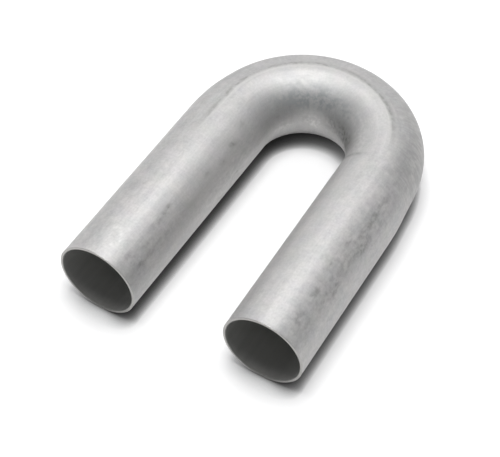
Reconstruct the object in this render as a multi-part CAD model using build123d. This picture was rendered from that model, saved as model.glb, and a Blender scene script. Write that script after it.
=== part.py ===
"""One length of thin round exhaust tube, mandrel bent into a U and lying flat on the ground.

The tube is drawn round a die of its own radius: the legs stay round, and the turn takes the section that
such a bend has. Outside the crown the wall is stretched, so it is thinner and lies a little flatter. Inside
it the wall is squeezed into the die's groove, so it keeps the groove's round shape and is thicker. Where
the two halves of the tooling met, a faint crease runs along the crown, above and below. The section changes
smoothly into the round legs, sooner at the end that was clamped than at the end that was dragged out.
"""

import math
import os

from build123d import *

# The tube as it was bought.
TUBE_OD = 44.45
WALL = 1.65

# The bend, on the centreline. The U opens a little when the tooling lets go.
BEND_RADIUS = 44.45
SPRINGBACK_DEG = 1.8

# Straight legs, each from its cut mouth to where the bend begins.
LEFT_LEG = 128.0
RIGHT_LEG = 123.0

# What bending does to the section at its fullest, in the plane of the bend.
OUTER_FLATTENING = 2.5
OUTER_THINNING = 0.40
INNER_THICKENING = 0.45
CROWN_CREASE = 1.2

# How far the change of section reaches into each leg, and how far round the bend it takes to be full.
CLAMPED_END_FADE = 11.0
CLAMPED_END_RISE = 18.0
DRAGGED_END_FADE = 30.0
DRAGGED_END_RISE = 13.0

# Both rims are deburred by hand after the saw.
OUTER_DEBURR = 0.3
INNER_DEBURR = 0.4

# Spacing of the sections that the bend is lofted through, and the round run at each end of that loft.
STATION_STEP = 3.0
ROUND_RUN = 6.0

OUTER_R = TUBE_OD / 2
BORE_R = OUTER_R - WALL
SWEEP = math.radians(180.0 - SPRINGBACK_DEG)
TURN_LENGTH = BEND_RADIUS * SWEEP


def station_plane(along: float) -> Plane:
    """Plane square to the centreline, its X away from the bend's middle and its Y up.

    along is measured on the centreline from the start of the turn, and is negative in the left leg.
    """
    on_turn = min(max(along, 0.0), TURN_LENGTH)
    angle = on_turn / BEND_RADIUS + math.radians(SPRINGBACK_DEG / 2)
    outward = Vector(-math.cos(angle), math.sin(angle), 0)
    travel = Vector(math.sin(angle), math.cos(angle), 0)
    origin = outward * BEND_RADIUS + travel * (along - on_turn) + Vector(0, 0, OUTER_R)
    return Plane(origin=origin, x_dir=outward, z_dir=travel)


def ease(share: float) -> float:
    """Smooth step from 0 to 1 with no kink at either end."""
    share = min(max(share, 0.0), 1.0)
    return share**3 * (10 - 15 * share + 6 * share**2)


def bent_share(along: float) -> float:
    """How much of the bend's change of section there is at a station, from 0 in the legs to 1."""
    rising = (along + CLAMPED_END_FADE) / (CLAMPED_END_FADE + CLAMPED_END_RISE)
    falling = (TURN_LENGTH + DRAGGED_END_FADE - along) / (DRAGGED_END_FADE + DRAGGED_END_RISE)
    return ease(rising) * ease(falling)


def section(plane: Plane, inner_reach: float, outer_reach: float, height: float, crease: float) -> Face:
    """Closed section of two arcs that meet on the crown, above and below.

    The inner arc is half an ellipse. The outer one is the part of an ellipse outside the crown whose
    middle lies inside it by crease, so the two arcs meet at a slight angle.
    """
    long_reach = outer_reach + crease
    crown_angle = math.degrees(math.acos(crease / long_reach))
    crown_height = height / math.sin(math.radians(crown_angle))
    outer = EllipticalCenterArc(
        (-crease, 0), long_reach, crown_height, -crown_angle, arc_size=2 * crown_angle
    )
    inner = EllipticalCenterArc((0, 0), inner_reach, height, 90, arc_size=180)
    return plane * make_face([outer, inner])


def outside_section(along: float) -> Face:
    """Outside of the tube at a station."""
    share = bent_share(along)
    outer_reach = OUTER_R - OUTER_FLATTENING * share
    return section(station_plane(along), OUTER_R, outer_reach, OUTER_R, CROWN_CREASE * share)


def bore_section(along: float) -> Face:
    """Bore of the tube at a station, which the mandrel kept free of the crease."""
    share = bent_share(along)
    inner_reach = BORE_R - INNER_THICKENING * share
    outer_reach = BORE_R - (OUTER_FLATTENING - OUTER_THINNING) * share
    return section(station_plane(along), inner_reach, outer_reach, BORE_R, 0.0)


def turn(first: float, last: float) -> Part:
    """Bent stretch of the tube, lofted through evenly spaced sections."""
    count = math.ceil((last - first) / STATION_STEP)
    stations = [first + (last - first) * step / count for step in range(count + 1)]
    outside = loft([outside_section(along) for along in stations])
    bore = loft([bore_section(along) for along in stations])
    return outside - bore


def leg(length: float) -> Part:
    """Straight round stretch with its cut mouth at the origin and its length along Z."""
    tube = extrude(Circle(OUTER_R) - Circle(BORE_R), length)
    mouth = tube.faces().sort_by(Axis.Z)[0]
    bore_rim, outer_rim = mouth.edges().sort_by(SortBy.RADIUS)
    tube = chamfer(outer_rim, OUTER_DEBURR)
    bore_rim = tube.faces().sort_by(Axis.Z)[0].edges().sort_by(SortBy.RADIUS)[0]
    return chamfer(bore_rim, INNER_DEBURR)


def u_bend_tube() -> Part:
    """The whole tube, lying with its lowest line on the ground and the middle of its box at the origin."""
    first = -CLAMPED_END_FADE - ROUND_RUN
    last = TURN_LENGTH + DRAGGED_END_FADE + ROUND_RUN
    left_mouth = station_plane(-LEFT_LEG)
    right_mouth = station_plane(TURN_LENGTH + RIGHT_LEG)
    into_right_leg = Plane(right_mouth.origin, right_mouth.x_dir, -right_mouth.z_dir)
    left = left_mouth * leg(LEFT_LEG + first)
    right = into_right_leg * leg(TURN_LENGTH + RIGHT_LEG - last)
    tube = left + turn(first, last) + right
    box = tube.bounding_box()
    return Pos(-box.center().X, -box.center().Y, -box.min.Z) * tube


os.makedirs("parts", exist_ok=True)
export_step(u_bend_tube(), "parts/u_bend_tube.step")
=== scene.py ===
"""A bare steel exhaust tube, mandrel bent into a U, lying on a pale studio floor.

The tube is one closed surface on a grid: rows run along the tube, out over its outside and back through its
bore, and columns run round it. Lengths are in millimetres until a mesh is written, which is in metres.
"""

import logging
import math
from dataclasses import dataclass
from enum import Enum

import bpy
import numpy as np
from mathutils import Matrix, Vector


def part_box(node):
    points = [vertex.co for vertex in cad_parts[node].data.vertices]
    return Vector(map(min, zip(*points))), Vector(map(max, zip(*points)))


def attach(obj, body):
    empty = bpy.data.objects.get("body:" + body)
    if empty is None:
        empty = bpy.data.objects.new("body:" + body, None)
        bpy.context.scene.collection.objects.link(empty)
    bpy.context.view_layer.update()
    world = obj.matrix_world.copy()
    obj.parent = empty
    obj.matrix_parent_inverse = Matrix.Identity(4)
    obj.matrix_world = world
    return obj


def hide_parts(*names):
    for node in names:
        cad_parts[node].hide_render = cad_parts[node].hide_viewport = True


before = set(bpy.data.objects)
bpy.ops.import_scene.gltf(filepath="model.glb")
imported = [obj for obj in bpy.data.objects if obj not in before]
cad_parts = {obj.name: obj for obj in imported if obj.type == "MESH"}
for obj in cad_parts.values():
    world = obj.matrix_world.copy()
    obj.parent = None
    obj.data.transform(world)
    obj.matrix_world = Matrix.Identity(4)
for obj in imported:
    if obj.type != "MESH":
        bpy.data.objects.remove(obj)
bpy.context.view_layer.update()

log = logging.getLogger("u_bend")

MM = 0.001
CAD_NODE = "u_bend_tube"
BODY = "root"

# Sockets of a Mix node that mixes colours: three inputs and the output
FACTOR, UNDER, OVER = 0, 6, 7
MIXED = 2


class Skin(Enum):
    """Which finish a row of faces takes, by material slot number."""

    OUTSIDE = 0
    RIM = 1
    BORE = 2


# Colour and node helpers


def linear(hex_colour: str) -> tuple[float, float, float, float]:
    """Turn an sRGB hex colour to linear light, by the standard's own curve.

    Up to 0.04045, a part is divided by 12.92. Above that, 0.055 is added to it, the sum is divided by 1.055,
    and the result is raised to the power of 2.4.

    Args:
        hex_colour: six hex digits, with or without a leading hash.

    Returns:
        Linear red, green and blue, and an alpha of 1.
    """
    digits = hex_colour.lstrip("#")
    parts = [int(digits[k : k + 2], 16) / 255 for k in (0, 2, 4)]
    red, green, blue = [p / 12.92 if p <= 0.04045 else ((p + 0.055) / 1.055) ** 2.4 for p in parts]
    return red, green, blue, 1.0


def per(across: float, down: float) -> tuple[float, float, float]:
    """Scale that gives a pattern its real size: 1 over the size of a feature, in metres.

    Args:
        across: size of one feature along the first two axes, in millimetres.
        down: its size along the third, which runs down the tube on the stock coordinates.

    Returns:
        Scale for a Mapping node.
    """
    return 1 / (across * MM), 1 / (across * MM), 1 / (down * MM)


def add(
    tree: bpy.types.NodeTree,
    kind: str,
    inputs: dict[int | str, object] | None = None,
    **settings: object,
) -> bpy.types.Node:
    """Add one node with its settings, values and links.

    Args:
        tree: node tree that gets the node.
        kind: the node's type name.
        inputs: socket name or number, to a value, to the socket that feeds it, or to a node whose first
            output does.
        settings: properties of the node.

    Returns:
        The new node.
    """
    node = tree.nodes.new(kind)
    for name, value in settings.items():
        setattr(node, name, value)
    for socket, value in (inputs or {}).items():
        value = value.outputs[0] if isinstance(value, bpy.types.Node) else value
        if isinstance(value, bpy.types.NodeSocket):
            tree.links.new(value, node.inputs[socket])
        else:
            node.inputs[socket].default_value = value
    return node


# Shape helpers


def ease(share: np.ndarray) -> np.ndarray:
    """Smooth step from 0 to 1, as share cubed times (10 - 15 share + 6 share squared)."""
    t = np.clip(share, 0.0, 1.0)
    return t**3 * (10 - 15 * t + 6 * t * t)


def bump(distance: np.ndarray, width: float) -> np.ndarray:
    """Bell that is 1 in its middle: e to the minus of (distance over width) squared."""
    return np.exp(-((distance / width) ** 2))


def turned(angle: np.ndarray, about: float) -> np.ndarray:
    """Signed angle from about to angle, brought between minus and plus half a turn."""
    return (angle - about + math.pi) % (2 * math.pi) - math.pi


@dataclass(frozen=True)
class Mark:
    """One mark on the outside, placed by the stock it was made on: a stain, rub or print, or a patch of
    painted shade, painted highlight or painted reflection.

    It lies so many millimetres down the tube, at an angle round it in degrees: 0 outside the bend, 90 on the
    crown and 180 inside the bend. Its length, down the tube, and its width are in millimetres. A mark with a
    line is only its own outline, that wide, and one without is filled.
    """

    along: float
    angle: float
    length: float
    width: float
    strength: float
    slant: float = 0.0
    line: float = 0.0

    def weight(self, along: np.ndarray, angle: np.ndarray, radius: float) -> np.ndarray:
        """How strongly the mark covers each point.

        A filled mark is a slanted bell: e to the minus of the squared distance over its half sizes. An
        outline is a bell of the distance from the ellipse with those half sizes, measured by their mean.
        Both are times the strength.

        Args:
            along: distance of each point down the tube.
            angle: angle of each point round the tube, in radians.
            radius: the tube's outer radius, which turns angles to lengths.

        Returns:
            The weight at each point.
        """
        down = along - self.along
        across = turned(angle, math.radians(self.angle)) * radius
        lean = math.radians(self.slant)
        long_way = down * math.cos(lean) + across * math.sin(lean)
        short_way = across * math.cos(lean) - down * math.sin(lean)
        half_long, half_short = self.length / 2, self.width / 2
        out = np.hypot(long_way / half_long, short_way / half_short)
        if self.line:
            from_outline = (out - 1) * (half_long + half_short) / 2
            return self.strength * bump(from_outline, self.line / 2)
        return self.strength * bump(out, 1.0)


# Grease, stains and dull scuffs, from the left mouth to the right one, with some painted shade among them.
# The one at 53 is painted shade that dims the highlight on the crown, the one at 54 is painted shade inside
# the bend, and the one at 139.5 lies across the end of the bend, where the wiper stopped, and is partly the
# painted shade of the line pressed in there.
SMUDGES_AND_PAINTED_SHADE = (
    Mark(along=-118, angle=130, length=5, width=3.5, strength=0.55),
    Mark(along=-117, angle=138, length=4, width=3, strength=0.5),
    Mark(along=-115, angle=147, length=4, width=2.5, strength=0.4),
    Mark(along=-106, angle=136, length=7, width=3, strength=0.35),
    Mark(along=-92, angle=127, length=9, width=4, strength=0.35),
    Mark(along=-85, angle=128, length=3, width=2.5, strength=0.6),
    Mark(along=-81, angle=125, length=3.5, width=2, strength=0.7),
    Mark(along=-76.4, angle=79, length=2, width=1.6, strength=0.5),
    Mark(along=-72, angle=148, length=100, width=6, strength=0.2),
    Mark(along=-50, angle=136, length=6, width=3, strength=0.4),
    Mark(along=-38, angle=144, length=5, width=3, strength=0.5),
    Mark(along=-30.8, angle=176, length=3, width=1.2, strength=0.7),
    Mark(along=-26.5, angle=137, length=2.5, width=2.2, strength=0.9),
    Mark(along=-24, angle=140, length=4, width=3, strength=0.4),
    Mark(along=-13, angle=128, length=5, width=4, strength=0.35),
    Mark(along=-9, angle=172, length=6, width=3, strength=0.4),
    Mark(along=20, angle=155, length=34, width=9, strength=0.25),
    # Painted shade: these two dim the crown's highlight and darken the inside of the bend
    Mark(along=53, angle=111, length=60, width=10, strength=0.2),
    Mark(along=54, angle=147, length=40, width=12, strength=0.12),
    Mark(along=76, angle=166, length=20, width=9, strength=0.35),
    Mark(along=106, angle=166, length=36, width=13, strength=0.75),
    # A wiper mark, partly the painted shade of the line pressed in there
    Mark(along=139.5, angle=140, length=2.2, width=20, strength=0.6),
    Mark(along=176, angle=50, length=40, width=3, strength=0.32),
    Mark(along=190, angle=39, length=10, width=4, strength=0.45),
    Mark(along=195, angle=60, length=9, width=4, strength=0.33),
    Mark(along=206, angle=42, length=100, width=6, strength=0.22),
    Mark(along=211, angle=63, length=8, width=4, strength=0.33),
    Mark(along=222, angle=38, length=10, width=4, strength=0.38),
    Mark(along=229, angle=57, length=9, width=4, strength=0.38),
    Mark(along=248, angle=56, length=9, width=5, strength=0.36),
    Mark(along=253, angle=148, length=3, width=2, strength=0.5),
)

# Pale places, in the same order: a painted highlight along the edge of the left mouth, an oval print in two
# outlines, a painted reflection on the left leg's inner flank, a painted reflection in a strip inside the
# bend, a painted highlight along the crown, a painted reflection in a fan inside the bend, and painted
# reflections on the inner flank at the end of the bend and on the right leg.
RUBS_AND_PAINTED_LIGHT = (
    # Painted highlight along the edge of the left mouth
    Mark(along=-127.4, angle=90, length=0.8, width=90, strength=0.4),
    Mark(along=-116, angle=99, length=18, width=9, strength=0.25, slant=-30, line=1.8),
    Mark(along=-113.6, angle=97, length=12, width=5.2, strength=0.55, slant=-30, line=1.3),
    # Painted reflection on the left leg's inner flank
    Mark(along=-42, angle=164, length=84, width=30, strength=0.62),
    # Painted reflection in a strip inside the bend
    Mark(along=22, angle=182, length=30, width=8, strength=0.6),
    # Painted highlight along the crown
    Mark(along=45, angle=103, length=90, width=4, strength=0.18),
    # Painted reflection: the fan inside the bend, then the inner flanks at the end of the bend and on the
    # right leg
    Mark(along=56, angle=172, length=28, width=11, strength=0.6),
    Mark(along=59, angle=182, length=14, width=7, strength=0.5),
    Mark(along=124, angle=134, length=54, width=15, strength=0.45),
    Mark(along=190, angle=133, length=120, width=18, strength=0.35),
)


@dataclass
class BentTube:
    """The tube: its sizes, its surface and its finish. Sizes are in millimetres and radians."""

    # The tube and its bend
    outer_radius: float = 22.225
    wall: float = 1.65
    bend_radius: float = 44.45
    springback: float = math.radians(1.8)
    left_leg: float = 128.0
    right_leg: float = 123.0

    # What bending does to the section at its fullest, and how far into the legs that reaches
    outer_flattening: float = 2.5
    outer_thinning: float = 0.40
    inner_thickening: float = 0.45
    crown_crease: float = 1.2
    clamped_end_fade: float = 11.0
    clamped_end_rise: float = 18.0
    dragged_end_fade: float = 30.0
    dragged_end_rise: float = 13.0

    # The rims
    outer_deburr: float = 0.3
    inner_deburr: float = 0.4

    # The dull parting line and the polished strip along the crown
    crown_angle: float = math.radians(87.5)
    crown_drift: float = math.radians(6)
    crown_middle: float = 52.0
    crown_run: float = 90.0
    crown_from: float = -45.0
    crown_past_end: float = 5.0
    crown_fade: float = 40.0
    crown_reach: float = 1.7
    polished_angle: float = math.radians(92)
    polished_reach: float = 0.8

    # The film of oil inside the bend, darkened further by painted shade, and the fan of painted reflection
    # cut out of it
    oil_and_shade_angle: float = math.radians(142)
    oil_and_shade_spread: float = math.radians(24)
    oil_and_shade_middle: float = 55.0
    oil_and_shade_run: float = 52.0
    reflection_fan_from: float = math.radians(148)
    reflection_fan_over: float = math.radians(26)
    reflection_fan_middle: float = 56.0
    reflection_fan_run: float = 24.0
    reflection_fan_least: float = 0.3

    # Relief of the wall
    relief_seed: int = 7
    wave_count: int = 9
    wave_turns: tuple[int, int] = (1, 5)
    wave_lengths: tuple[float, float] = (14.0, 60.0)
    wave_heights: tuple[float, float] = (0.004, 0.014)
    squeeze_pitch: float = 7.5
    squeeze_height: float = 0.035
    squeeze_power: int = 3
    wiper_line: Mark = Mark(along=139.7, angle=128, length=1.5, width=30, strength=0.12)
    wiper_crease: Mark = Mark(along=137.6, angle=151, length=1.5, width=7, strength=0.25, slant=-18)
    set_in: float = 0.07

    # How finely the skin is divided
    columns: int = 160
    leg_step: float = 1.5
    bend_step: float = 0.75
    bore_step: float = 3.0
    rim_steps: int = 3

    smudges_and_painted_shade: tuple[Mark, ...] = SMUDGES_AND_PAINTED_SHADE
    rubs_and_painted_light: tuple[Mark, ...] = RUBS_AND_PAINTED_LIGHT

    @property
    def bore_radius(self) -> float:
        """Radius of the bore in the straight legs."""
        return self.outer_radius - self.wall

    @property
    def turn_length(self) -> float:
        """Length of the bend on its centreline."""
        return self.bend_radius * (math.pi - self.springback)

    def bent_share(self, along: np.ndarray) -> np.ndarray:
        """How much of the bend's change of section each station has: a smooth step up times one down.

        Args:
            along: distance down the tube from the start of the bend.

        Returns:
            The share at each station, from 0 to 1.
        """
        rising = (along + self.clamped_end_fade) / (self.clamped_end_fade + self.clamped_end_rise)
        to_fade = self.turn_length + self.dragged_end_fade - along
        falling = to_fade / (self.dragged_end_fade + self.dragged_end_rise)
        return ease(rising) * ease(falling)

    def stations(self, along: np.ndarray) -> tuple[np.ndarray, np.ndarray]:
        """Centreline of the tube: a straight leg, an arc about the origin and a straight leg.

        The angle turned is the distance round the bend over its radius, from half the springback on. The
        way outward is minus its cosine and its sine, and the way down the tube is its sine and cosine.

        Args:
            along: distance down the tube from the start of the bend.

        Returns:
            Points on the centreline, level with its axis, and unit vectors away from the bend's middle.
        """
        on_turn = np.clip(along, 0.0, self.turn_length)
        angle = on_turn / self.bend_radius + self.springback / 2
        level = np.zeros_like(angle)
        outward = np.stack([-np.cos(angle), np.sin(angle), level], axis=-1)
        travel = np.stack([np.sin(angle), np.cos(angle), level], axis=-1)
        return outward * self.bend_radius + travel * (along - on_turn)[:, None], outward

    def section(self, share: np.ndarray, angle: np.ndarray, bore: bool) -> tuple[np.ndarray, np.ndarray]:
        """Section of the outside or the bore, at every station and angle.

        Inside the crown it is half an ellipse about the axis. Outside it is the part beyond the crown of an
        ellipse whose middle lies inside the axis by the crease, so the halves meet at a faint ridge. There
        the angle is scaled so that a quarter turn ends on the crown. The bore has no crease.

        Args:
            share: how bent each station is, from 0 to 1.
            angle: angle round the tube, from 0 outside the bend over the crown at a quarter turn.
            bore: whether the section is the bore's.

        Returns:
            Reach away from the bend's middle and height above the axis, station by angle.
        """
        share = share[:, None]
        if bore:
            height = self.bore_radius
            inner = height - self.inner_thickening * share
            outer = height - (self.outer_flattening - self.outer_thinning) * share
            crease = np.zeros_like(share)
        else:
            height = self.outer_radius
            inner = np.full_like(share, height)
            outer = height - self.outer_flattening * share
            crease = self.crown_crease * share
        long_reach = outer + crease
        crown = np.arccos(crease / long_reach)
        cosine, sine = np.cos(angle)[None, :], np.sin(angle)[None, :]
        swept = np.arctan2(sine, np.abs(cosine)) / (math.pi / 2) * crown
        outside = cosine >= 0
        reach = np.where(outside, long_reach * np.cos(swept) - crease, inner * cosine)
        lift = np.where(outside, height / np.sin(crown) * np.sin(swept), height * sine)
        return reach, lift

    def spread(self, first: float, last: float, step: float) -> np.ndarray:
        """Evenly spaced distances from first to last, no further apart than step."""
        return np.linspace(first, last, max(2, math.ceil(abs(last - first) / step) + 1))

    def rows(self) -> tuple[np.ndarray, np.ndarray, np.ndarray, np.ndarray]:
        """Rows of the grid, in order: out over the outside, round the right rim, back through the bore, and
        round the left rim.

        A deburred edge is a quarter of a round: the sine of an even angle along the tube, and 1 less its
        cosine into the wall. The inner one takes the bore's finish, with the painted shade that it has near
        the mouths. The faces after a row take its skin, so the last row before a rim takes the rim's.

        Returns:
            For each row its distance down the tube, how far it is drawn into the wall, which skin follows
            it, and whether it is in the bore.
        """
        start, end = -self.left_leg, self.turn_length + self.right_leg
        bent_from, bent_to = -self.clamped_end_fade, self.turn_length + self.dragged_end_fade
        outside = np.concatenate([
            self.spread(start + self.outer_deburr, bent_from, self.leg_step)[:-1],
            self.spread(bent_from, bent_to, self.bend_step)[:-1],
            self.spread(bent_to, end - self.outer_deburr, self.leg_step),
        ])
        bore = self.spread(end - self.inner_deburr, start + self.inner_deburr, self.bore_step)
        quarter = np.linspace(0, math.pi / 2, self.rim_steps + 1)[1:]
        outer_along = self.outer_deburr * np.sin(quarter)
        outer_in = self.outer_deburr * (1 - np.cos(quarter))
        inner_along = self.inner_deburr * np.sin(quarter)
        inner_in = self.inner_deburr * (1 - np.cos(quarter))
        groups = (
            (Skin.OUTSIDE, outside, np.zeros_like(outside)),
            (Skin.RIM, end - self.outer_deburr + outer_along, outer_in),
            (Skin.BORE, (end - self.inner_deburr + inner_along)[::-1], inner_in[::-1]),
            (Skin.BORE, bore, np.zeros_like(bore)),
            (Skin.BORE, start + self.inner_deburr - inner_along, inner_in),
            (Skin.RIM, (start + self.outer_deburr - outer_along)[::-1], outer_in[::-1]),
        )
        along = np.concatenate([places for _, places, _ in groups])
        drawn = np.concatenate([depths for _, _, depths in groups])
        skin = np.concatenate([np.full(len(places), kind.value) for kind, places, _ in groups])
        in_bore = skin == Skin.BORE.value
        skin[len(outside) - 1] = Skin.RIM.value
        skin[len(skin) - self.rim_steps - 1] = Skin.RIM.value
        return along, drawn, skin, in_bore

    def surface(self) -> tuple[np.ndarray, dict[str, np.ndarray], np.ndarray]:
        """Points of the whole skin, what each knows of its place on the stock, and each row's skin.

        A point is its station's centre, plus its reach times the way outward, plus its height. Rows on the
        rims are drawn into the wall along the section's own radius. A point is stretched by its station's
        share times the cosine of its angle, and its depth is the way to the nearer mouth. Its place on the
        stock is where it was on the straight tube.

        Returns:
            Points, row by column by three; named values for each point; and the skin that follows each row.
        """
        along, drawn, skin, in_bore = self.rows()
        angle = np.arange(self.columns) / self.columns * 2 * math.pi - math.pi
        share = self.bent_share(along)
        centre, outward = self.stations(along)
        reach, lift = self.section(share, angle, bore=False)
        bore_reach, bore_lift = self.section(share, angle, bore=True)
        inside = in_bore[:, None]
        reach = np.where(inside, bore_reach, reach)
        lift = np.where(inside, bore_lift, lift)
        radius = np.hypot(reach, lift)
        wanted = radius + np.where(inside, 1.0, -1.0) * drawn[:, None]
        wanted += np.where(inside | (drawn[:, None] > 0), 0.0, self.relief(along, angle, share))
        points = centre[:, None, :] + outward[:, None, :] * (reach * wanted / radius)[..., None]
        points[..., 2] += lift * wanted / radius
        around = np.broadcast_to(angle, reach.shape)
        down = np.broadcast_to(along[:, None], reach.shape)
        bent = np.broadcast_to(share[:, None], reach.shape)
        parting, polished = self.crown_strips(down, around)
        values = {
            "stretch": bent * np.clip(np.cos(around), 0, 1),
            "oil_and_shade": self.oil_and_shade_film(down, around),
            "depth": np.minimum(down - along.min(), along.max() - down) * MM,
            "parting": parting,
            "polished": polished,
            "smudge_and_painted_shade": sum(mark.weight(down, around, self.outer_radius) for mark in self.smudges_and_painted_shade),
            "rub_and_painted_light": sum(mark.weight(down, around, self.outer_radius) for mark in self.rubs_and_painted_light),
        }
        stock_radius = np.where(inside, self.bore_radius, self.outer_radius)
        stock = np.stack([stock_radius * np.cos(around), stock_radius * np.sin(around), down], axis=-1)
        return points, {"stock": stock * MM, **values}, skin

    def crown_strips(self, along: np.ndarray, angle: np.ndarray) -> tuple[np.ndarray, np.ndarray]:
        """Where the tooling's parting dulls the crown, and where the die polished it just inside that line.

        Each is a bell about its own angle, which falls away with the square of the distance from the middle
        of the run, times a smooth step up and one down along the tube.

        Args:
            along: distance of each point down the tube.
            angle: angle of each point round the tube.

        Returns:
            The weight of the parting and of the polished strip at each point.
        """
        to_end = self.turn_length + self.crown_past_end - along
        reach = ease((along - self.crown_from) / self.crown_fade) * ease(to_end / self.crown_fade)
        drift = self.crown_drift * ((along - self.crown_middle) / self.crown_run) ** 2
        parting = turned(angle, self.crown_angle - drift) * self.outer_radius
        polished = turned(angle, self.polished_angle - drift) * self.outer_radius
        return reach * bump(parting, self.crown_reach), reach * bump(polished, self.polished_reach)

    def oil_and_shade_film(self, along: np.ndarray, angle: np.ndarray) -> np.ndarray:
        """Old oil inside the bend, with painted shade in it: a bell of the angle times one down the tube,
        less a fan of painted reflection.

        The fan of painted reflection is a smooth step of the angle, up to the very inside of the bend, times
        a bell of the distance from the fan's middle, whose width grows with that step, so that the patch is
        a fan.

        Args:
            along: distance of each point down the tube.
            angle: angle of each point round the tube.

        Returns:
            The weight of the oil and painted shade at each point.
        """
        film = bump(turned(angle, self.oil_and_shade_angle), self.oil_and_shade_spread)
        film *= bump(along - self.oil_and_shade_middle, self.oil_and_shade_run)
        # Painted reflection: a lighter fan where the film is taken away
        reflection_side = ease((np.abs(angle) - self.reflection_fan_from) / self.reflection_fan_over)
        fan = bump((along - self.reflection_fan_middle) / (self.reflection_fan_least + reflection_side), self.reflection_fan_run)
        return film * (1 - reflection_side * fan)

    def relief(self, along: np.ndarray, angle: np.ndarray, share: np.ndarray) -> np.ndarray:
        """Small departures of the wall from its true section, in millimetres.

        A seeded sum of slow sines down and round the tube gives low waves. Inside the bend, a sine of the
        distance, times the cube of how far inside a point lies, gives ripples of the gathered wall. All of
        it is set in a little, and no crest passes the true section. Where the wiper ended, a bell and a
        slanted bell are pressed in.

        Args:
            along: distance of each row down the tube.
            angle: angle of each column round the tube.
            share: how bent each row is.

        Returns:
            How far each point stands out from the true section, row by column: 0 or less.
        """
        seeded = np.random.default_rng(self.relief_seed)
        waves = np.zeros((len(along), len(angle)))
        for _ in range(self.wave_count):
            turns = seeded.integers(*self.wave_turns, endpoint=True)
            length, height = seeded.uniform(*self.wave_lengths), seeded.uniform(*self.wave_heights)
            phase, twist = seeded.uniform(0, 2 * math.pi, 2)
            lengthwise = np.sin(along[:, None] / length * 2 * math.pi + phase)
            waves += height * lengthwise * np.sin(turns * angle + twist)
        squeezed = share[:, None] * np.clip(-np.cos(angle), 0, 1) ** self.squeeze_power
        ripples = self.squeeze_height * np.sin(along[:, None] / self.squeeze_pitch * 2 * math.pi) * squeezed
        down, around = np.broadcast_arrays(along[:, None], angle)
        pressed = self.wiper_line.weight(down, around, self.outer_radius)
        pressed += self.wiper_crease.weight(down, around, self.outer_radius)
        return np.minimum(waves + ripples - self.set_in, 0.0) - pressed

    def build(self) -> bpy.types.Object:
        """Write the skin to a mesh, with its named values, a map and its three finishes.

        Each face joins two rows and two columns, and the last row and column are joined to the first. The
        middle of the skin's box goes to the middle of the CAD node's.

        Returns:
            The tube's object, at the origin, with its place in its mesh.
        """
        points, values, skin = self.surface()
        rows, columns = points.shape[:2]
        flat = points.reshape(-1, 3) * MM
        low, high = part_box(CAD_NODE)
        flat += (np.array(low) + np.array(high)) / 2 - (flat.min(0) + flat.max(0)) / 2
        first = (np.arange(rows)[:, None] * columns + np.arange(columns)).ravel()
        right = (np.arange(rows)[:, None] * columns + (np.arange(columns) + 1) % columns).ravel()
        below = np.roll(first.reshape(rows, columns), -1, axis=0).ravel()
        across = np.roll(right.reshape(rows, columns), -1, axis=0).ravel()
        quads = np.stack([first, right, across, below], axis=-1)
        mesh = bpy.data.meshes.new("bent_tube")
        mesh.from_pydata(flat, [], quads)
        mesh.polygons.foreach_set("material_index", np.repeat(skin, columns).astype(np.int32))
        mesh.polygons.foreach_set("use_smooth", np.ones(rows * columns, bool))
        for name, value in values.items():
            vector = value.ndim == 3
            layer = mesh.attributes.new(name, "FLOAT_VECTOR" if vector else "FLOAT", "POINT")
            layer.data.foreach_set("vector" if vector else "value", value.astype(np.float32).ravel())
        self.map_faces(mesh, rows, columns)
        # In the order of Skin
        for finish in (MillSteel(), SawnSteel(), BoreSteel()):
            mesh.materials.append(finish.material())
        mesh.validate()
        mesh.update()
        piece = bpy.data.objects.new("bent_tube", mesh)
        bpy.context.scene.collection.objects.link(piece)
        return piece

    def map_faces(self, mesh: bpy.types.Mesh, rows: int, columns: int) -> None:
        """Lay every face on one flat map, with no overlap.

        A corner lies at its row over the number of rows, and its column over the number of columns.

        Args:
            mesh: the tube's mesh.
            rows: rows of the grid.
            columns: columns of the grid.
        """
        u = np.repeat(np.arange(rows), columns)[:, None] + np.array([0, 0, 1, 1])
        v = np.tile(np.arange(columns), rows)[:, None] + np.array([0, 1, 1, 0])
        layer = mesh.uv_layers.new(name="tube_map")
        both = np.stack([u / rows, v / columns], axis=-1)
        layer.data.foreach_set("uv", both.astype(np.float32).ravel())


# Finishes


@dataclass(frozen=True)
class Layer:
    """One noise of the mill finish, by the size of its features across and down the tube, in millimetres.

    Detail counts the finer noises that it has in it, and share is its weight in the tone.
    """

    name: str
    across: float
    down: float
    detail: float
    share: float


@dataclass(frozen=True)
class Tint:
    """A colour that covers the steel, and how much of the steel it hides at most."""

    hue: str
    most: float


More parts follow.
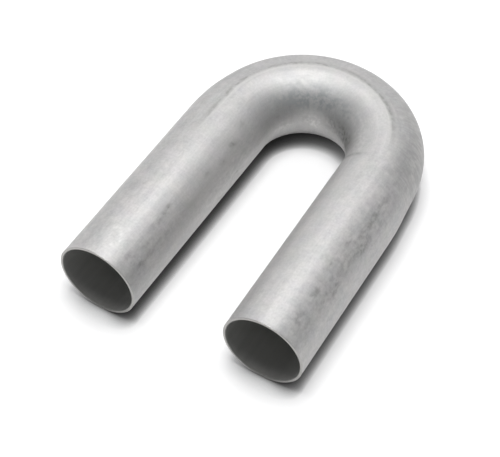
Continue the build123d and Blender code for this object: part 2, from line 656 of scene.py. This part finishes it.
@dataclass(frozen=True)
class MillSteel:
    """Bare cold-rolled mild steel tube as it leaves the bender.

    Its dull mill finish blurs what it reflects to a soft sheen. Rolling left faint lines down it, handling
    left smudges and a printed oval, the bend's outside is stretched to a fine matt grain across it, and the
    bend's inside keeps a film of old bending oil. Painted shade darkens the oil and some of the smudges, and
    pale painted highlights and reflections lie on the crown, along the edge of the left mouth, on the inner
    flanks and in a fan inside the bend. Widths and lengths are in millimetres. Real rolling lines and
    stretched grain are finer than a tenth of a millimetre and wouldn't show, so they are drawn 0.5 to 1.1 mm
    wide.
    """

    pale: str = "#c0bfbe"
    dark: str = "#aaa9a9"
    cloud_tint: float = 0.05
    layers: tuple[Layer, ...] = (
        Layer("lines", across=0.5, down=40.0, detail=3.0, share=0.09),
        Layer("bands", across=3.5, down=90.0, detail=2.0, share=0.14),
        Layer("mottle", across=2.2, down=3.4, detail=4.0, share=0.30),
        Layer("grain", across=7.0, down=0.9, detail=2.0, share=0.09),
        Layer("specks", across=1.0, down=1.3, detail=2.0, share=0.20),
        Layer("clouds", across=8.0, down=8.0, detail=3.0, share=0.18),
    )
    roughness: float = 0.60
    roughness_spread: float = 0.05
    mottle_height: float = 0.02

    # What bending and handling leave on it, with painted shade and painted light among them
    stretched: Tint = Tint("#9b9b9a", 0.8)
    oil_and_shade: Tint = Tint("#909495", 0.9)
    parting: Tint = Tint("#989896", 1.0)
    polished: Tint = Tint("#cdccca", 0.4)
    # Colours of the pale rubs and painted light, and of the smudges and painted shade
    rub_and_painted_light_hue: str = "#d4d3d1"
    smudge_and_painted_shade: str = "#6b6c67"

    # Strokes of the stretched grain
    stroke_across: float = 6.0
    stroke_down: float = 1.1
    stroke_detail: float = 1.0

    # How much is left of a stroke, a patch of oil and painted shade, and a handling mark or patch of painted
    # light, where noise breaks it up most
    stroke_least: float = 0.3
    patch_least: float = 0.25
    mark_least: float = 0.25

    # Lowest and highest value that each noise is stretched between. The patches are two noises added up.
    tone_range: tuple[float, float] = (0.40, 0.60)
    gloss_range: tuple[float, float] = (0.30, 0.70)
    stroke_range: tuple[float, float] = (0.40, 0.60)
    patch_range: tuple[float, float] = (0.86, 1.13)
    mark_range: tuple[float, float] = (0.36, 0.60)

    def material(self) -> bpy.types.Material:
        """Make the material on the stock coordinates, which follow the tube round its bend.

        Returns:
            The finished material.
        """
        made = bpy.data.materials.new("mill_finish_mild_steel")
        made.use_nodes = True
        tree = made.node_tree
        shader = tree.nodes["Principled BSDF"]
        stock = add(tree, "ShaderNodeAttribute", attribute_name="stock").outputs["Vector"]
        mottle, clouds, colour = self.mill_tone(tree, stock)
        colour = self.bend_marks(tree, stock, colour, clouds, mottle)
        colour = self.marks_and_painted_light(tree, colour, mottle)
        tree.links.new(colour, shader.inputs["Base Color"])
        shader.inputs["Metallic"].default_value = 1.0
        low, high = self.gloss_range
        inputs = {
            "Value": mottle,
            "From Min": low,
            "From Max": high,
            "To Min": self.roughness - self.roughness_spread,
            "To Max": self.roughness + self.roughness_spread,
        }
        tree.links.new(add(tree, "ShaderNodeMapRange", inputs).outputs[0], shader.inputs["Roughness"])
        inputs = {"Height": mottle, "Distance": self.mottle_height * MM, "Strength": 1.0}
        tree.links.new(add(tree, "ShaderNodeBump", inputs).outputs[0], shader.inputs["Normal"])
        return made

    def mill_tone(
        self, tree: bpy.types.NodeTree, stock: bpy.types.NodeSocket
    ) -> tuple[bpy.types.Node, bpy.types.Node, bpy.types.NodeSocket]:
        """Colour of the untouched tube: rolled lines and bands down it, blotches and a fine grain across it.

        The tone is the sum of the layers, each times its share.

        Args:
            tree: the material's node tree.
            stock: the stock coordinates.

        Returns:
            The blotches, the slow clouds and the colour.
        """
        noises = {}
        tone: float | bpy.types.Node = 0.0
        for layer in self.layers:
            scale = per(layer.across, layer.down)
            place = add(tree, "ShaderNodeMapping", {"Vector": stock, "Scale": scale})
            noise = add(tree, "ShaderNodeTexNoise", {"Vector": place, "Scale": 1.0, "Detail": layer.detail})
            tone = add(tree, "ShaderNodeMath", {0: noise, 1: layer.share, 2: tone}, operation="MULTIPLY_ADD")
            noises[layer.name] = noise
        low, high = self.tone_range
        tone = add(tree, "ShaderNodeMapRange", {"Value": tone, "From Min": low, "From Max": high})
        inputs = {FACTOR: tone, UNDER: linear(self.dark), OVER: linear(self.pale)}
        colour = add(tree, "ShaderNodeMix", inputs, data_type="RGBA").outputs[MIXED]
        inputs = {FACTOR: self.cloud_tint, UNDER: colour, OVER: noises["clouds"].outputs["Color"]}
        colour = add(tree, "ShaderNodeMix", inputs, data_type="RGBA", blend_type="SOFT_LIGHT").outputs[MIXED]
        return noises["mottle"], noises["clouds"], colour

    def bend_marks(
        self,
        tree: bpy.types.NodeTree,
        stock: bpy.types.NodeSocket,
        colour: bpy.types.NodeSocket,
        clouds: bpy.types.Node,
        mottle: bpy.types.Node,
    ) -> bpy.types.NodeSocket:
        """What bending leaves, with painted shade among it: fine matt strokes across the stretched outside,
        oil and painted shade in the squeezed inside, the dull line where the tooling parts along the crown,
        and the strip that the die polished beside it.

        Args:
            tree: the material's node tree.
            stock: the stock coordinates.
            colour: the colour so far.
            clouds: slow noise, which breaks up the oil and painted shade, and the dull line.
            mottle: finer blotches, which do so too.

        Returns:
            The colour with these marks.
        """
        scale = per(self.stroke_across, self.stroke_down)
        place = add(tree, "ShaderNodeMapping", {"Vector": stock, "Scale": scale})
        inputs = {"Vector": place, "Scale": 1.0, "Detail": self.stroke_detail}
        strokes = add(tree, "ShaderNodeTexNoise", inputs)
        low, high = self.stroke_range
        inputs = {"Value": strokes, "From Min": low, "From Max": high, "To Min": self.stroke_least}
        strokes = add(tree, "ShaderNodeMapRange", inputs)
        patches = add(tree, "ShaderNodeMath", {0: clouds, 1: mottle}, operation="ADD")
        low, high = self.patch_range
        inputs = {"Value": patches, "From Min": low, "From Max": high, "To Min": self.patch_least}
        patches = add(tree, "ShaderNodeMapRange", inputs)
        for name, tint, broken_by in (
            ("stretch", self.stretched, strokes),
            ("oil_and_shade", self.oil_and_shade, patches),
            ("parting", self.parting, patches),
            ("polished", self.polished, 1.0),
        ):
            cover = add(tree, "ShaderNodeAttribute", attribute_name=name).outputs["Fac"]
            cover = add(tree, "ShaderNodeMath", {0: cover, 1: tint.most}, operation="MULTIPLY")
            inputs = {0: cover, 1: broken_by}
            cover = add(tree, "ShaderNodeMath", inputs, operation="MULTIPLY", use_clamp=True)
            inputs = {FACTOR: cover, UNDER: colour, OVER: linear(tint.hue)}
            colour = add(tree, "ShaderNodeMix", inputs, data_type="RGBA").outputs[MIXED]
        return colour

    def marks_and_painted_light(
        self, tree: bpy.types.NodeTree, colour: bpy.types.NodeSocket, mottle: bpy.types.Node
    ) -> bpy.types.NodeSocket:
        """Pale rubs with painted highlights and reflections, and smudges with painted shade over them, with
        edges broken up by the blotches of the mill finish.

        Args:
            tree: the material's node tree.
            colour: the colour so far.
            mottle: the blotches.

        Returns:
            The colour with rubs and smudges.
        """
        low, high = self.mark_range
        least = self.mark_least
        inputs = {"Value": mottle, "From Min": low, "From Max": high, "To Min": 1.0, "To Max": least}
        broken = add(tree, "ShaderNodeMapRange", inputs)
        for name, hue in (("rub_and_painted_light", self.rub_and_painted_light_hue), ("smudge_and_painted_shade", self.smudge_and_painted_shade)):
            cover = add(tree, "ShaderNodeAttribute", attribute_name=name).outputs["Fac"]
            inputs = {0: cover, 1: broken}
            cover = add(tree, "ShaderNodeMath", inputs, operation="MULTIPLY", use_clamp=True)
            inputs = {FACTOR: cover, UNDER: colour, OVER: linear(hue)}
            colour = add(tree, "ShaderNodeMix", inputs, data_type="RGBA").outputs[MIXED]
        return colour


@dataclass(frozen=True)
class SawnSteel:
    """The same steel, freshly sawn and deburred: brighter, with the saw's fine lines across it.

    A saw's lines lie about 0.1 mm apart, which wouldn't show, so they are drawn 0.5 mm apart.
    """

    pale: str = "#b6b5b2"
    dark: str = "#989795"
    roughness: float = 0.42
    saw_line: float = 0.5
    saw_stroke: float = 6.0
    saw_detail: float = 3.0

    def material(self) -> bpy.types.Material:
        """Make the material on the object's own coordinates.

        Returns:
            The finished material.
        """
        made = bpy.data.materials.new("sawn_mild_steel")
        made.use_nodes = True
        tree = made.node_tree
        shader = tree.nodes["Principled BSDF"]
        place = add(tree, "ShaderNodeTexCoord").outputs["Object"]
        scale = per(self.saw_line, self.saw_stroke)
        place = add(tree, "ShaderNodeMapping", {"Vector": place, "Scale": scale})
        lines = add(tree, "ShaderNodeTexNoise", {"Vector": place, "Scale": 1.0, "Detail": self.saw_detail})
        inputs = {FACTOR: lines, UNDER: linear(self.dark), OVER: linear(self.pale)}
        colour = add(tree, "ShaderNodeMix", inputs, data_type="RGBA").outputs[MIXED]
        tree.links.new(colour, shader.inputs["Base Color"])
        shader.inputs["Metallic"].default_value = 1.0
        shader.inputs["Roughness"].default_value = self.roughness
        return made


@dataclass(frozen=True)
class BoreSteel:
    """The bore: the same steel under a dull dark film of oxide and bending oil that nobody wipes off.

    It scatters light as a coat of paint does and shows no sheen of metal. Its colour runs in long smears,
    and painted shade darkens it near the mouths, where light from the room reaches in. Widths and lengths
    are in millimetres.
    """

    pale: str = "#9b9b98"
    dark: str = "#878784"
    roughness: float = 0.6
    smear_width: float = 3.0
    smear_length: float = 25.0
    smear_detail: float = 3.0
    painted_shade_reach: float = 28.0
    painted_shade_tone: float = 0.55

    def material(self) -> bpy.types.Material:
        """Make the material on the stock coordinates.

        Returns:
            The finished material.
        """
        made = bpy.data.materials.new("oxide_film_on_mild_steel")
        made.use_nodes = True
        tree = made.node_tree
        shader = tree.nodes["Principled BSDF"]
        stock = add(tree, "ShaderNodeAttribute", attribute_name="stock").outputs["Vector"]
        scale = per(self.smear_width, self.smear_length)
        place = add(tree, "ShaderNodeMapping", {"Vector": stock, "Scale": scale})
        inputs = {"Vector": place, "Scale": 1.0, "Detail": self.smear_detail}
        smears = add(tree, "ShaderNodeTexNoise", inputs)
        inputs = {FACTOR: smears, UNDER: linear(self.dark), OVER: linear(self.pale)}
        colour = add(tree, "ShaderNodeMix", inputs, data_type="RGBA").outputs[MIXED]
        # Painted shade: the colour is darkest at the mouths and eases to none some 28 mm in
        depth = add(tree, "ShaderNodeAttribute", attribute_name="depth").outputs["Fac"]
        inputs = {"Value": depth, "From Max": self.painted_shade_reach * MM, "To Min": self.painted_shade_tone}
        painted_shade = add(tree, "ShaderNodeMapRange", inputs)
        inputs = {FACTOR: 1.0, UNDER: colour, OVER: painted_shade}
        colour = add(tree, "ShaderNodeMix", inputs, data_type="RGBA", blend_type="MULTIPLY").outputs[MIXED]
        tree.links.new(colour, shader.inputs["Base Color"])
        shader.inputs["Roughness"].default_value = self.roughness
        return made


@dataclass(frozen=True)
class WhitePaper:
    """A roll of matt white paper under the tube, in millimetres from the tube's middle.

    A painted shadow darkens it close to the tube, as the narrow gap beside a round tube would, and more on
    the side away from the light. Far out it fades to an even white, as the back of a studio's sweep does,
    for the camera and for what the metal mirrors. Near the tube it has a little of that white too, so that
    faint shadows wash out.
    """

    white: str = "#f4f4f4"
    contact_reach: float = 9.0
    contact_power: float = 2.3
    contact_samples: int = 16
    near_white: float = 0.13
    lit_from: tuple[float, float, float] = (-0.78, 0.1, 0.62)
    fade_from: float = 350.0
    fade_to: float = 1100.0

    def material(self) -> bpy.types.Material:
        """Make the material on the object's own coordinates.

        Returns:
            The finished material.
        """
        made = bpy.data.materials.new("matt_white_paper")
        made.use_nodes = True
        tree = made.node_tree
        tree.nodes.clear()
        # Painted shadow: the paper's colour is multiplied by how open the sky is toward the light, within a
        # short reach
        toward = add(tree, "ShaderNodeCombineXYZ", dict(enumerate(self.lit_from)))
        inputs = {"Distance": self.contact_reach * MM, "Normal": toward}
        sky = add(tree, "ShaderNodeAmbientOcclusion", inputs, samples=self.contact_samples)
        inputs = {0: sky.outputs["AO"], 1: self.contact_power}
        open_sky = add(tree, "ShaderNodeMath", inputs, operation="POWER")
        inputs = {FACTOR: 1.0, UNDER: linear(self.white), OVER: open_sky}
        colour = add(tree, "ShaderNodeMix", inputs, data_type="RGBA", blend_type="MULTIPLY").outputs[MIXED]
        matt = add(tree, "ShaderNodeBsdfDiffuse", {"Color": colour})
        path = add(tree, "ShaderNodeLightPath")
        seen = path.outputs["Is Camera Ray"]
        for ray in ("Is Glossy Ray", "Is Transmission Ray"):
            seen = add(tree, "ShaderNodeMath", {0: seen, 1: path.outputs[ray]}, operation="MAXIMUM")
        place = add(tree, "ShaderNodeTexCoord").outputs["Object"]
        out = add(tree, "ShaderNodeVectorMath", {0: place}, operation="LENGTH").outputs["Value"]
        inputs = {"Value": out, "From Min": self.fade_from * MM, "From Max": self.fade_to * MM}
        far = add(tree, "ShaderNodeMapRange", inputs, interpolation_type="SMOOTHSTEP")
        near = add(tree, "ShaderNodeMath", {0: open_sky, 1: self.near_white}, operation="MULTIPLY")
        white = add(tree, "ShaderNodeMath", {0: far, 1: near}, operation="MAXIMUM")
        white = add(tree, "ShaderNodeMath", {0: white, 1: seen}, operation="MULTIPLY")
        glow = add(tree, "ShaderNodeEmission", {"Color": (1.0, 1.0, 1.0, 1.0), "Strength": 1.0})
        both = add(tree, "ShaderNodeMixShader", {0: white, 1: matt, 2: glow})
        add(tree, "ShaderNodeOutputMaterial", {"Surface": both})
        return made


# Studio


@dataclass(frozen=True)
class SoftBox:
    """One soft lamp, by where it hangs, the size of its face, its power and what it is aimed at.

    Places and sizes are in metres, and its power in watts.
    """

    name: str
    place: tuple[float, float, float]
    width: float
    height: float
    watts: float
    aim: tuple[float, float, float] = (0.0, 0.0, 0.02)

    def build(self) -> None:
        """Hang the lamp so that its face looks at its aim."""
        lamp = bpy.data.lights.new(self.name, "AREA")
        lamp.shape = "RECTANGLE"
        lamp.size, lamp.size_y, lamp.energy = self.width, self.height, self.watts
        holder = bpy.data.objects.new(self.name, lamp)
        away = (Vector(self.place) - Vector(self.aim)).normalized()
        facing = away.to_track_quat("Z", "Y").to_matrix().to_4x4()
        holder.matrix_world = Matrix.Translation(self.place) @ facing
        bpy.context.scene.collection.objects.link(holder)


@dataclass
class Studio:
    """The floor, the light and the camera, which looks from the photograph's side.

    Places are in metres, and the lens and its sensor in millimetres.
    """

    floor_half: float = 4.0
    room: str = "#bababb"
    soft_boxes: tuple[SoftBox, ...] = (
        SoftBox("overhead", place=(0.0, 0.0, 1.0), width=0.5, height=0.5, watts=8.2),
        SoftBox("back_left", place=(-0.7, 0.7, 0.55), width=0.9, height=0.7, watts=2.3),
        SoftBox("left", place=(-1.1, 0.0, 0.35), width=1.0, height=0.6, watts=1.0),
        SoftBox("back", place=(0.1, 1.1, 0.4), width=1.2, height=0.6, watts=2.2),
    )
    azimuth: float = math.radians(30.61)
    elevation: float = math.radians(50.487)
    distance: float = 0.8905
    aim: tuple[float, float, float] = (0.00222, -0.0275, 0.022225)
    lens: float = 125.13
    sensor: float = 36.0

    def lay_floor(self) -> bpy.types.Object:
        """Lay one pale matt sheet at the height that the tube rests on.

        Returns:
            The floor's object.
        """
        half = self.floor_half
        corners = [(-half, -half, 0), (half, -half, 0), (half, half, 0), (-half, half, 0)]
        mesh = bpy.data.meshes.new("floor")
        mesh.from_pydata(corners, [], [(0, 1, 2, 3)])
        mesh.materials.append(WhitePaper().material())
        piece = bpy.data.objects.new("floor", mesh)
        bpy.context.scene.collection.objects.link(piece)
        return piece

    def light(self) -> None:
        """Set the even light of the room and hang the soft boxes."""
        world = bpy.data.worlds.new("room")
        world.use_nodes = True
        room = world.node_tree.nodes["Background"]
        room.inputs["Color"].default_value = linear(self.room)
        room.inputs["Strength"].default_value = 1.0
        bpy.context.scene.world = world
        for soft_box in self.soft_boxes:
            soft_box.build()

    def camera(self) -> None:
        """Set the camera at its distance from its aim, level with the horizon."""
        side, rise = self.azimuth, self.elevation
        back = Vector((math.sin(side) * math.cos(rise), -math.cos(side) * math.cos(rise), math.sin(rise)))
        lens = bpy.data.cameras.new("camera")
        lens.lens, lens.sensor_width, lens.sensor_fit = self.lens, self.sensor, "HORIZONTAL"
        holder = bpy.data.objects.new("camera", lens)
        place = Matrix.Translation(Vector(self.aim) + back * self.distance)
        holder.matrix_world = place @ back.to_track_quat("Z", "Y").to_matrix().to_4x4()
        bpy.context.scene.collection.objects.link(holder)
        bpy.context.scene.camera = holder


def main() -> None:
    """Build the tube and the studio."""
    logging.basicConfig(level=logging.INFO, format="%(name)s: %(message)s")
    tube = BentTube().build()
    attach(tube, BODY)
    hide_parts(CAD_NODE)
    log.info("%s: %d faces", tube.name, len(tube.data.polygons))
    studio = Studio()
    studio.lay_floor()
    studio.light()
    studio.camera()
    bpy.context.scene.view_settings.view_transform = "Standard"


if __name__ == "__main__":
    main()
